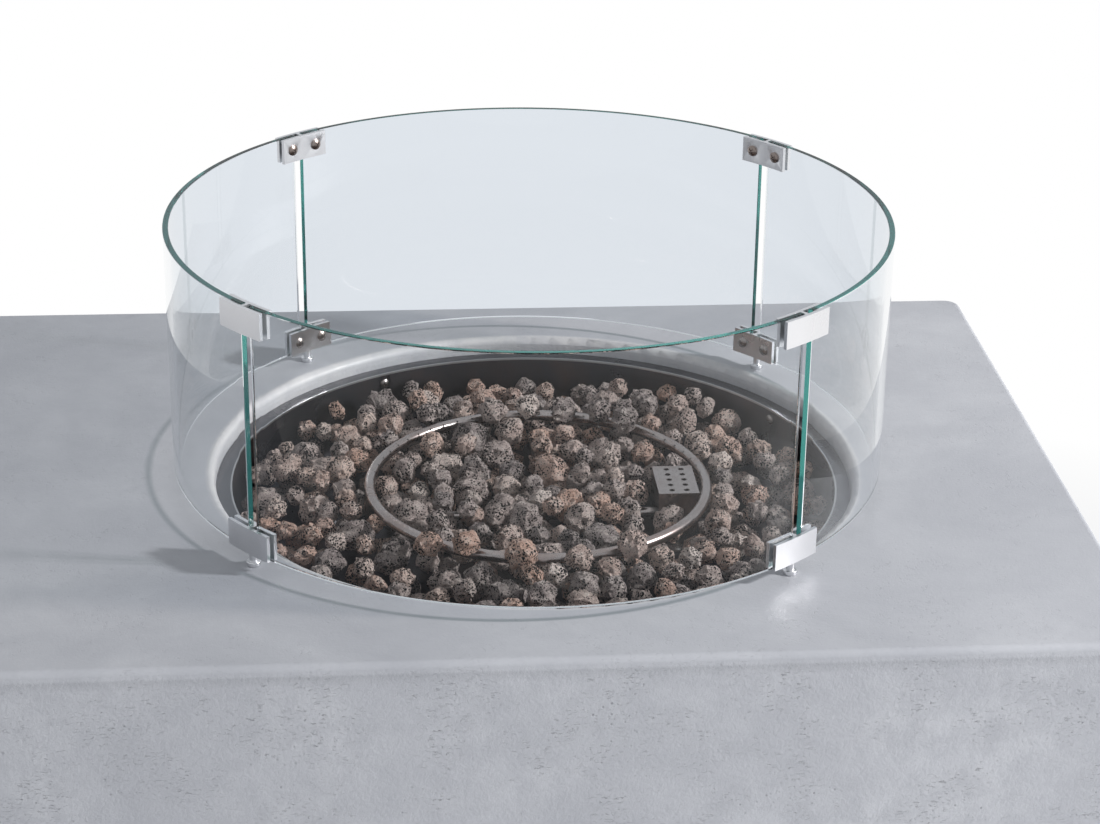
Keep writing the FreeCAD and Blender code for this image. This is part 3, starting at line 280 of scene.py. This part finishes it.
panLook = {
    "wall": (0.085, 0.085, 0.095),
    # the same steel as the wall, painted lighter on the pan's top where it faces up: a painted
    # reflection of the sky
    "flange": (0.155, 0.155, 0.165),
    "rim": (0.50, 0.50, 0.50),      # a painted highlight along the folded inner edge of the pan's top
    "heat": (0.14, 0.10, 0.085),
    "rough": 0.30,
    "rimEnds": (0.2590, 0.2596),    # metres from the pan's middle
    "flangeDepth": (0.0022, 0.0012),    # metres under the pan's top
}


def makePanSteel():
    look = panLook
    mat, shader = newMaterial("darkPanSteel", look["wall"], look["rough"], 1.0)
    space = objectSpace(mat)
    soot = noiseOn(mat, space, 11, 5, 0.6, 0.8)
    drawn = noiseOn(mat, objectSpace(mat, (1, 1, 14)), 22, 4, 0.6)
    wall = mixColour(mat, mapRange(mat, soot, 0.45, 0.72, 0.0, 0.8), look["wall"], look["heat"])
    # the top painted lighter than the wall: a painted reflection of the sky on the same steel
    flange = mixColour(mat, mapRange(mat, drawn, 0.35, 0.7, 0.0, 0.5), look["flange"], look["wall"])
    # a painted highlight along the folded inner edge
    rim = mapRange(mat, distanceFromAxis(mat, panMiddle), *look["rimEnds"], 1.0, 0.0)
    flange = mixColour(mat, rim, flange, look["rim"])
    below, above = (panHigh.z - depth for depth in look["flangeDepth"])
    top = mapRange(mat, heightOn(mat, space), below, above, 0.0, 1.0)
    link(mat, mixColour(mat, top, wall, flange), shader.inputs["Base Color"])
    link(mat, mapRange(mat, soot, 0.3, 0.75, look["rough"] * 0.8, look["rough"] * 1.3),
         shader.inputs["Roughness"])
    addBump(mat, shader, drawn, 0.04, 0.0006)
    return mat


paintLook = {
    "colour": (0.028, 0.028, 0.03),
    "rough": 0.42,
    "dust": (0.09, 0.09, 0.095),
    "skin": 160,
}


def makePaint():
    look = paintLook
    mat, shader = newMaterial("blackSteel", look["colour"], look["rough"])
    space = objectSpace(mat)
    skin = noiseOn(mat, space, look["skin"], 2, 0.5)
    dust = noiseOn(mat, space, 9, 5, 0.65, 0.5)
    dusty = mapRange(mat, dust, 0.42, 0.8, 0.0, 0.55)
    link(mat, mixColour(mat, dusty, look["colour"], look["dust"]), shader.inputs["Base Color"])
    link(mat, mapRange(mat, dust, 0.3, 0.8, look["rough"] * 0.85, look["rough"] * 1.3),
         shader.inputs["Roughness"])
    addBump(mat, shader, skin, 0.12, 0.0005)
    return mat


plainLook = {
    "blackRubber": {"colour": (0.022, 0.022, 0.022), "rough": 0.75},
    "blackPlastic": {"colour": (0.02, 0.02, 0.021), "rough": 0.45, "speck": 500, "bump": 0.1},
    "whiteCeramic": {"colour": (0.78, 0.75, 0.70), "rough": 0.4},
    "softPad": {"colour": (0.55, 0.55, 0.54), "rough": 0.6},
}


def makePlain(name, colour, rough, speck=300, bump=0.15):
    mat, shader = newMaterial(name, colour, rough)
    space = objectSpace(mat)
    grain = noiseOn(mat, space, speck, 3, 0.6)
    cloud = noiseOn(mat, space, 18, 4, 0.6)
    lighter = tuple(min(1.0, c * 1.6 + 0.01) for c in colour)
    link(mat, mixColour(mat, mapRange(mat, cloud, 0.3, 0.75, 0.0, 0.6), colour, lighter),
         shader.inputs["Base Color"])
    link(mat, mapRange(mat, grain, 0.3, 0.7, rough * 0.85, min(1.0, rough * 1.2)),
         shader.inputs["Roughness"])
    addBump(mat, shader, grain, bump, 0.0004)
    return mat


glassLook = {
    # the tint is for the eye, letsThrough for light; sheen tones down the reflections
    "clearGlass": {"tint": (0.93, 0.95, 0.96), "rough": 0.0, "letsThrough": (0.91, 0.92, 0.93),
                   "sheen": 0.35},
    "glassEdge": {"tint": (0.006, 0.105, 0.083), "rough": 0.10, "letsThrough": (0.25, 0.32, 0.31),
                  "sheen": 0.7},
}


def makeGlass(name, tint, rough, letsThrough, sheen):
    # real glass to the eye and clear to light, so that the guard casts the pale shadow of glass
    mat, shader = newMaterial(name, tint, rough)
    shader.inputs["Transmission Weight"].default_value = 1.0
    shader.inputs["IOR"].default_value = 1.45
    shader.inputs["Specular Tint"].default_value = (sheen, sheen, sheen, 1)
    smudge = noiseOn(mat, objectSpace(mat), 7, 4, 0.6, 0.5)
    link(mat, mapRange(mat, smudge, 0.45, 0.8, rough, rough + 0.03), shader.inputs["Roughness"])
    clear = addNode(mat, "ShaderNodeBsdfTransparent")
    clear.inputs["Color"].default_value = (*letsThrough, 1)
    path = addNode(mat, "ShaderNodeLightPath").outputs
    seen = combine(mat, "MAXIMUM", path["Is Camera Ray"], path["Is Transmission Ray"])
    mix = addNode(mat, "ShaderNodeMixShader")
    for socket, source in zip(mix.inputs, (seen, clear.outputs[0], shader.outputs[0])):
        link(mat, source, socket)
    link(mat, mix.outputs[0], mat.node_tree.nodes["Material Output"].inputs["Surface"])
    return mat


lavaLook = {
    # from the darkest stone to the palest; with the dust, paler and warmer than the stone: partly
    # painted flame light
    "tones": [(0.0, (0.380, 0.318, 0.302)), (0.3, (0.580, 0.470, 0.435)),
              (0.55, (0.740, 0.590, 0.532)), (0.80, (0.820, 0.520, 0.400)),
              (1.0, (0.920, 0.785, 0.715))],
    "dust": (0.97, 0.85, 0.77),
    # the painted shade in the pores and in patches
    "hollow": (0.012, 0.010, 0.009),
    "bubbles": 540.0,
    "specks": 1050.0,
}


def makeRock():
    look = lavaLook
    mat, shader = newMaterial("lavaRock", (0.25, 0.20, 0.18), 0.92)
    space = objectSpace(mat)
    tone = addNode(mat, "ShaderNodeAttribute", attribute_name="rockTone")
    stoneColour = colourRamp(mat, tone.outputs["Fac"], look["tones"])
    cloud = noiseOn(mat, space, 120, 6, 0.75)
    colour = mixColour(mat, mapRange(mat, cloud, 0.48, 0.70, 0.0, 0.75), stoneColour, look["dust"])
    # patches of a noise are painted towards the shade of hollows
    colour = mixColour(mat, mapRange(mat, cloud, 0.48, 0.32, 0.0, 0.5), colour, look["hollow"])
    # burst bubbles of two sizes, painted dark as the shade in their holes; the larger ones uneven
    # because their pattern is shaken
    shakes = addNode(mat, "ShaderNodeTexNoise", Scale=330.0)
    link(mat, space, shakes.inputs["Vector"])
    shaken = mixColour(mat, 0.003, space, shakes.outputs["Color"])
    uneven = mapRange(mat, noiseOn(mat, space, 75, 3, 0.6), 0.36, 0.62, 0.12, 0.44)
    pores = combine(mat, "SUBTRACT", voronoiOn(mat, shaken, look["bubbles"]), uneven)
    pores = mapRange(mat, pores, 0.0, 0.14, 0.0, 1.0)
    specks = mapRange(mat, voronoiOn(mat, space, look["specks"]), 0.18, 0.36, 0.0, 1.0)
    holes = combine(mat, "MINIMUM", pores, combine(mat, "ADD", specks, 0.25))
    colour = mixColour(mat, combine(mat, "SUBTRACT", 1.0, holes), colour, look["hollow"])
    link(mat, colour, shader.inputs["Base Color"])
    shader.inputs["Specular IOR Level"].default_value = 0.2
    addBump(mat, shader, noiseOn(mat, space, 240, 6, 0.78), 1.0, 0.005)
    addBump(mat, shader, holes, 1.0, 0.0018)
    return mat


metals = {name: makeMetal(name, **look) for name, look in metalLook.items()}
plains = {name: makePlain(name, **look) for name, look in plainLook.items()}
glasses = {name: makeGlass(name, **look) for name, look in glassLook.items()}
finishOf = {
    "cast_concrete": makeConcrete(),
    "dark_steel": makePanSteel(),
    "black_steel": makePaint(),
    "lava_rock": makeRock(),
    "clear_glass": glasses["clearGlass"],
    "stainless": metals["stainless"],
    "zinc_steel": metals["zincSteel"],
    "aluminium": metals["satinAluminium"],
    "brass_fitting": metals["brass"],
    "spring_steel": metals["springWire"],
    "black_rubber": plains["blackRubber"],
    "black_plastic": plains["blackPlastic"],
    "ceramic_white": plains["whiteCeramic"],
    "soft_pad": plains["softPad"],
}
# nodes that look different from the rest of their material
ownFinish = {
    "burner_ring": metals["heatTintedSteel"],
    "igniter_cover": metals["heatTintedSteel"],
    "clamp_screws": metals["darkScrews"],
    "pan_screws": metals["darkScrews"],
}
print("finishes made")


def finishFor(node):
    return ownFinish.get(node) or finishOf[slotOf[node]]


for name, obj in nodes.items():
    obj.data.materials.clear()
    obj.data.materials.append(finishFor(name))
print("nodes dressed")


def newPiece(name, bm, materials, node, smooth):
    # a piece that stands in for a CAD node; its edges are shaded round up to the angle smooth
    mesh = bpy.data.meshes.new(name)
    bm.to_mesh(mesh)
    bm.free()
    piece = bpy.data.objects.new(name, mesh)
    bpy.context.scene.collection.objects.link(piece)
    for material in materials:
        mesh.materials.append(material)
    mesh.shade_smooth()
    mesh.set_sharp_from_angle(angle=math.radians(smooth))
    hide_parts(node)
    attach(piece, bodyOf[node])


rockShape = {
    "seed": 5,
    "swell": 1.17,          # how much fuller a stone is than its solid
    "showing": 0.558,       # metres; the stones above this are seen and get more faces
    "faces": (3, 1),        # subdivisions of a stone that shows and of one that doesn't
    "stretch": 0.18,
    "rounding": 0.08,       # how much of a cut corner is left
    # depth and fineness of the forms, from large to small
    "lumps": (0.42, 1.7),
    "knobs": (0.24, 3.9),
    "creases": (0.9, 3.1),
    "creaseWidth": 0.25,
    "crumbs": (0.07, 10.0),
    "size": 1.03,
}


def looseParts(bm):
    # the vertices of each separate shell
    seen = set()
    for start in bm.verts:
        if start in seen:
            continue
        group = [start]
        seen.add(start)
        for vert in group:
            for edge in vert.link_edges:
                other = edge.other_vert(vert)
                if other not in seen:
                    seen.add(other)
                    group.append(other)
        yield group


def makeStone(bm, tones, group, dice):
    # a lumpy ball cut to the faces of its solid, then creased and crumbled
    shape = rockShape
    middle = sum((v.co for v in group), Vector()) / len(group)
    reach = max((v.co - middle).length for v in group)
    cuts = []
    # each face once, in an order that is the same in every run
    for face in dict.fromkeys(face for vert in group for face in vert.link_faces):
        cuts.append((face.normal.copy(), (face.verts[0].co - middle).dot(face.normal) / reach))
    fine, coarse = shape["faces"]
    made = bmesh.ops.create_icosphere(
        bm, subdivisions=fine if middle.z > shape["showing"] else coarse, radius=1.0)["verts"]
    shift = Vector((dice.uniform(0, 90), dice.uniform(0, 90), dice.uniform(0, 90)))
    stretch = Vector((dice.uniform(-1, 1), dice.uniform(-1, 1), dice.uniform(-1, 1)))
    stretch *= shape["stretch"]
    tone = dice.random()
    (lumps, lumpScale), (knobs, knobScale) = shape["lumps"], shape["knobs"]
    (creases, creaseScale), (crumbs, crumbScale) = shape["creases"], shape["crumbs"]
    for vert in made:
        way = vert.co.copy()
        lump = noise.noise(way * lumpScale + shift)
        knob = noise.noise(way * knobScale + shift)
        place = way * (1.0 + lumps * lump + knobs * knob)
        for axis in range(3):
            place[axis] *= 1.0 + stretch[axis]
        for normal, depth in cuts:
            over = place.dot(normal) - depth
            if over > 0:
                place -= normal * over * (1 - shape["rounding"])
        width = shape["creaseWidth"]
        crease = width - min(width, abs(noise.noise(way * creaseScale - shift)))
        crumb = noise.noise(way * crumbScale + shift)
        place *= shape["size"] - creases * crease + crumbs * crumb
        vert.co = middle + place * (reach * shape["swell"])
        vert[tones] = tone


def makeRocks():
    dice = random.Random(rockShape["seed"])
    source = bmesh.new()
    source.from_mesh(nodes["lava_rocks"].data)
    bmesh.ops.remove_doubles(source, verts=source.verts, dist=1e-6)
    bmesh.ops.recalc_face_normals(source, faces=source.faces)
    bm = bmesh.new()
    tones = bm.verts.layers.float.new("rockTone")
    stones = list(looseParts(source))
    for group in stones:
        makeStone(bm, tones, group, dice)
    source.free()
    print(len(stones), "stones,", len(bm.faces), "faces")
    newPiece("lavaRocks", bm, [finishFor("lava_rocks")], "lava_rocks", 40)


makeRocks()
print("rocks made")

guardGlass = {
    "outer": 0.300,         # radii in metres
    "inner": 0.295,
    "gap": 0.009,           # between two panels
    "bevel": 0.0008,
    "steps": 44,
}


def makeGlassPanel(node, name):
    glass = guardGlass
    inner, outer = glass["inner"], glass["outer"]
    low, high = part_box(node)
    outward = (low + high) / 2 - guardMiddle
    half = math.pi / 4 - glass["gap"] / (inner + outer)
    bm = bmesh.new()
    corners = [bm.verts.new((radius, 0, z)) for radius, z in
               ((inner, low.z), (outer, low.z), (outer, high.z), (inner, high.z))]
    section = bm.faces.new(corners)
    bmesh.ops.spin(bm, geom=[section, *section.edges, *corners], cent=(0, 0, 0), axis=(0, 0, 1),
                   angle=2 * half, steps=glass["steps"], use_merge=False)
    bmesh.ops.remove_doubles(bm, verts=bm.verts, dist=1e-6)
    bmesh.ops.recalc_face_normals(bm, faces=bm.faces)
    hard = [e for e in bm.edges if len(e.link_faces) == 2 and e.calc_face_angle(0) > 1.0]
    bmesh.ops.bevel(bm, geom=hard, offset=glass["bevel"], segments=2, profile=0.5,
                    affect="EDGES", material=-1)
    # the clear faces look in or out, all others are ground edges
    for face in bm.faces:
        centre = face.calc_center_median()
        radial = Vector((centre.x, centre.y, 0)).normalized()
        face.material_index = 0 if abs(face.normal.dot(radial)) > 0.9 else 1
    turn = Matrix.Rotation(math.atan2(outward.y, outward.x) - half, 4, "Z")
    bm.transform(Matrix.Translation(Vector((guardMiddle.x, guardMiddle.y, 0))) @ turn)
    newPiece(name, bm, [glasses["clearGlass"], glasses["glassEdge"]], node, 10)


# the rounding in metres, the angles in degrees: which edges are rounded, which are shaded round
softEdges = {
    "top_clamps": ("topClamps", 0.0005, 35, 20),
    "bottom_clamps": ("bottomClamps", 0.0005, 35, 20),
    "igniter_cover": ("igniterCover", 0.0003, 35, 20),
    "burner_pan": ("burnerPan", 0.0006, 50, 50),
}


def makeSoftened(node, name, width, angle, smooth):
    # a merged copy of a CAD node with its hard edges rounded
    bm = bmesh.new()
    bm.from_mesh(nodes[node].data)
    bmesh.ops.remove_doubles(bm, verts=bm.verts, dist=1e-6)
    bmesh.ops.dissolve_limit(bm, angle_limit=math.radians(1.0), verts=bm.verts, edges=bm.edges)
    hard = [e for e in bm.edges if len(e.link_faces) == 2
            and e.calc_face_angle(0) > math.radians(angle)]
    bmesh.ops.bevel(bm, geom=hard, offset=width, segments=2, profile=0.5,
                    affect="EDGES", material=-1, clamp_overlap=True)
    newPiece(name, bm, [finishFor(node)], node, smooth)


for side in ("front", "right", "back", "left"):
    makeGlassPanel("glass_panel_" + side, "glassPanel" + side.capitalize())
for node, settings in softEdges.items():
    makeSoftened(node, *settings)
print("guard, cover and pan made")

stageLook = {
    "floor": (0.86, 0.86, 0.86),
    "floorSize": 14,
    "tableSpot": (0.1, -0.75, 0),            # the floor is shaded round this point
    "whiteFrom": (1.6, 2.3),                 # and white further away, in metres
    "throughGlass": (0.80, 0.83, 0.875),     # the backdrop as the guard shows it
    "world": (0.93, 0.96, 1.0),
    "worldStrength": 0.38,
    "worldInMetal": 0.70,
}


def makeStage():
    look = stageLook
    bm = bmesh.new()
    bmesh.ops.create_grid(bm, x_segments=1, y_segments=1, size=look["floorSize"])
    mesh = bpy.data.meshes.new("studioFloor")
    bm.to_mesh(mesh)
    bm.free()
    floor = bpy.data.objects.new("studioFloor", mesh)
    bpy.context.scene.collection.objects.link(floor)
    mat, shader = newMaterial("paleFloor", look["floor"], 0.7)
    # white away from the table, for what looks at it straight, in a reflection or through glass
    white = addNode(mat, "ShaderNodeEmission", Strength=1.0)
    distance = addNode(mat, "ShaderNodeVectorMath", operation="DISTANCE")
    distance.inputs[1].default_value = look["tableSpot"]
    link(mat, objectSpace(mat), distance.inputs[0])
    far = mapRange(mat, distance.outputs["Value"], *look["whiteFrom"], 0.0, 1.0)
    path = addNode(mat, "ShaderNodeLightPath").outputs
    link(mat, mixColour(mat, path["Is Transmission Ray"], (1, 1, 1), look["throughGlass"]),
         white.inputs["Color"])
    seen = combine(mat, "MAXIMUM", path["Is Transmission Ray"], path["Is Glossy Ray"])
    seen = combine(mat, "MAXIMUM", path["Is Camera Ray"], seen)
    mix = addNode(mat, "ShaderNodeMixShader")
    shown = combine(mat, "MULTIPLY", far, seen)
    for socket, source in zip(mix.inputs, (shown, shader.outputs[0], white.outputs[0])):
        link(mat, source, socket)
    link(mat, mix.outputs[0], mat.node_tree.nodes["Material Output"].inputs["Surface"])
    mesh.materials.append(mat)


def makeWorld():
    look = stageLook
    world = bpy.data.worlds.new("studio")
    bpy.context.scene.world = world
    world.use_nodes = True
    tree = world.node_tree
    path = tree.nodes.new("ShaderNodeLightPath")
    shown = tree.nodes["Background"]
    shown.inputs["Color"].default_value = (*look["world"], 1)
    shown.inputs["Strength"].default_value = look["worldStrength"]
    for ray, colour, strength in (("Is Glossy Ray", look["world"], look["worldInMetal"]),
                                  ("Is Transmission Ray", look["throughGlass"], 1.0),
                                  ("Is Camera Ray", (1, 1, 1), 1.0)):
        other = tree.nodes.new("ShaderNodeBackground")
        other.inputs["Color"].default_value = (*colour, 1)
        other.inputs["Strength"].default_value = strength
        mix = tree.nodes.new("ShaderNodeMixShader")
        for socket, source in zip(mix.inputs, (path.outputs[ray], shown.outputs[0],
                                               other.outputs[0])):
            tree.links.new(source, socket)
        shown = mix
    tree.links.new(shown.outputs[0], tree.nodes["World Output"].inputs["Surface"])


lampLook = {
    "keyRight": {"place": (3.23, -0.71, 2.30), "target": (0.16, 0.0, 0.6), "size": (0.3, 0.3),
                 "power": 134, "colour": (1.0, 0.99, 0.985), "shines": True},
    "softboxFront": {"place": (0.9, -3.0, 1.0), "target": (0.3, -0.3, 0.4), "size": (2.2, 1.4),
                     "power": 21, "colour": (0.97, 0.98, 1.0), "shines": False},
}


def addLamp(name, place, target, size, power, colour, shines):
    data = bpy.data.lights.new(name, "AREA")
    data.shape = "RECTANGLE"
    data.size, data.size_y = size
    data.energy = power
    data.color = colour
    lamp = bpy.data.objects.new(name, data)
    bpy.context.scene.collection.objects.link(lamp)
    lamp.location = place
    lamp.rotation_euler = (Vector(target) - Vector(place)).to_track_quat("-Z", "Y").to_euler()
    lamp.visible_glossy = shines


# fitted to the photograph, metres and millimetres of lens
cameraFacts = {
    "place": (0.0133, -2.0600, 1.5561),
    "right": (0.99716, -0.07441, 0.01160),
    "up": (0.01926, 0.40098, 0.91588),
    "forward": (0.07280, 0.91306, -0.40127),
    "lens": 86.67,
    "sensor": 36,
    "shift": (0.0007, 0.0013),
    "sees": 60,
}


def makeCamera():
    facts = cameraFacts
    data = bpy.data.cameras.new("photoCamera")
    data.sensor_width = facts["sensor"]
    data.lens = facts["lens"]
    data.clip_end = facts["sees"]
    data.shift_x, data.shift_y = facts["shift"]
    camera = bpy.data.objects.new("photoCamera", data)
    bpy.context.scene.collection.objects.link(camera)
    right, up, forward = (Vector(facts[way]) for way in ("right", "up", "forward"))
    turn = Matrix((right, up, -forward)).transposed().to_4x4()
    camera.matrix_world = Matrix.Translation(Vector(facts["place"])) @ turn
    bpy.context.scene.camera = camera


makeStage()
makeWorld()
for name, look in lampLook.items():
    addLamp(name, **look)
makeCamera()
bpy.context.scene.view_settings.view_transform = "Standard"
print("stage, lamps and camera made")

print("scene ready")
